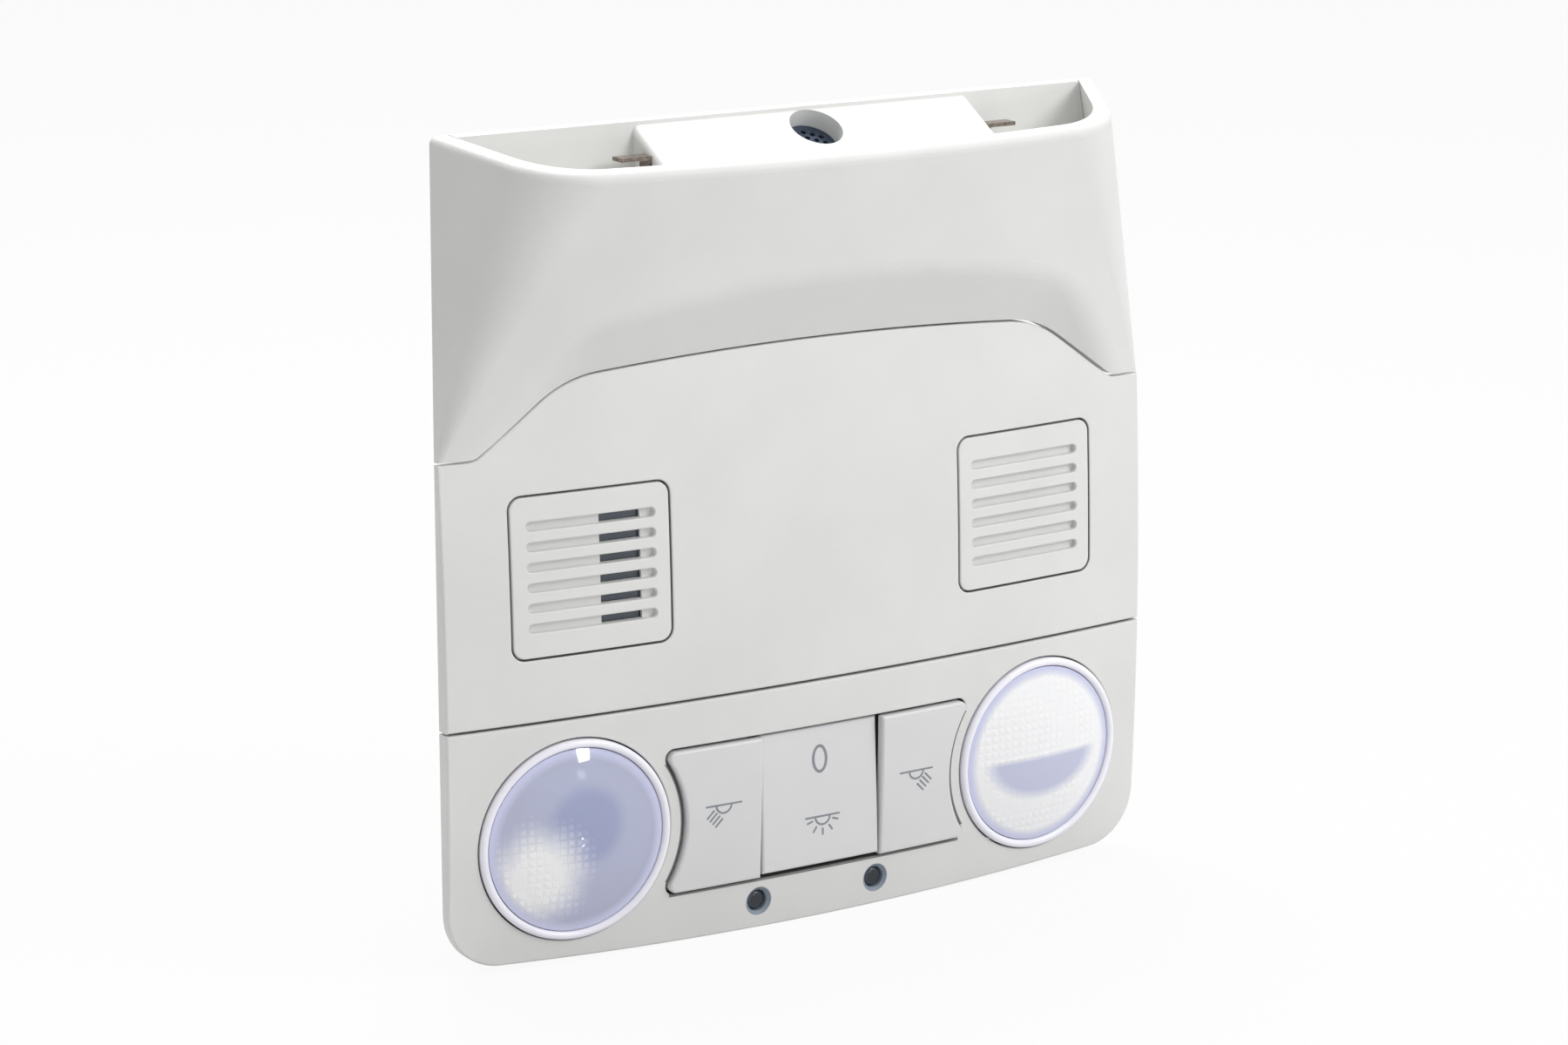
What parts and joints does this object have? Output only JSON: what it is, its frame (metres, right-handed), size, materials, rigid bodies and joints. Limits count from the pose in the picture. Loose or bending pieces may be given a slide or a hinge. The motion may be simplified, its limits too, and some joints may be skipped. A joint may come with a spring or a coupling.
{
  "type": "courtesy light",
  "caption": "Roof courtesy light for a car, with a flared hood, louvred inserts, round reading lamps, push keys and a rocker between them.",
  "frame": {"origin": "middle of the line between the two fixing screw holes, on the back of the base frame", "axes": "+X across the face, +Y out of the back towards the roof, +Z along the face towards the hood"},
  "size_m": [0.17, 0.0524, 0.1693],
  "materials": {
    "fascia_plastic": "fine moulded grain",
    "insert_plastic": "fine moulded grain",
    "key_plastic": "fine moulded grain",
    "bezel_plastic": "smooth satin",
    "clear_lens": "clear moulded plastic with a pillow pattern",
    "mirror_coat": "vacuum metal coat",
    "bulb_glass": "frosted",
    "black_plastic": "moulded",
    "switch_plastic": "moulded",
    "sensor_plastic": "smooth",
    "board_laminate": "lacquered laminate",
    "led_resin": "tinted resin",
    "mic_metal": "dark perforated sheet",
    "spring_steel": "rolled",
    "plated_steel": "zinc plated",
    "tinned_brass": "tinned"
  },
  "bodies": {
    "carrier": {"lamp_panel": "fascia_plastic", "sensor_panel": "fascia_plastic", "hood": "fascia_plastic", "end_cap": "fascia_plastic", "left_grille": "insert_plastic", "right_grille": "insert_plastic", "left_lens_bezel": "bezel_plastic", "right_lens_bezel": "bezel_plastic", "left_lens": "clear_lens", "right_lens": "clear_lens", "left_reflector": "mirror_coat", "right_reflector": "mirror_coat", "left_bulb": "bulb_glass", "right_bulb": "bulb_glass", "base_frame": "black_plastic", "rear_housing": "black_plastic", "connector_socket": "black_plastic", "left_bulb_holder": "black_plastic", "right_bulb_holder": "black_plastic", "switch_body": "switch_plastic", "slide_switch": "switch_plastic", "left_push_switch": "switch_plastic", "right_push_switch": "switch_plastic", "motion_sensor": "sensor_plastic", "circuit_board": "board_laminate", "left_ambient_led": "led_resin", "right_ambient_led": "led_resin", "mic_grille": "mic_metal", "mic_capsule": "mic_metal", "left_clip": "spring_steel", "right_clip": "spring_steel", "panel_screws": "plated_steel", "housing_screws": "plated_steel", "connector_pins": "tinned_brass"},
    "rocker": {"rocker": "key_plastic"},
    "left_key": {"left_key": "key_plastic", "left_plunger": "switch_plastic"},
    "right_key": {"right_key": "key_plastic", "right_plunger": "switch_plastic"},
    "slider": {"switch_slider": "switch_plastic"}
  },
  "joints": [
    {"name": "rocker_tilt", "type": "hinge", "parent": "carrier", "child": "rocker", "pos_m": [0, -0.0049, -0.02535], "axis": [1, 0, 0], "range_deg": [0, 8.6]},
    {"name": "left_key_press", "type": "slide", "parent": "carrier", "child": "left_key", "axis": [0, 1, 0], "range_m": [0, 0.0016], "stiffness_N_per_m": 300, "springref_m": -0.001},
    {"name": "right_key_press", "type": "slide", "parent": "carrier", "child": "right_key", "axis": [0, 1, 0], "range_m": [0, 0.0016], "stiffness_N_per_m": 300, "springref_m": -0.001},
    {"name": "slider_shift", "type": "slide", "parent": "carrier", "child": "slider", "axis": [0, 0, 1], "range_m": [0, 0.00147]}
  ],
  "couplings": [
    {"joint": "slider_shift", "follows": "rocker_tilt", "m_per_rad": 0.0097}
  ]
}
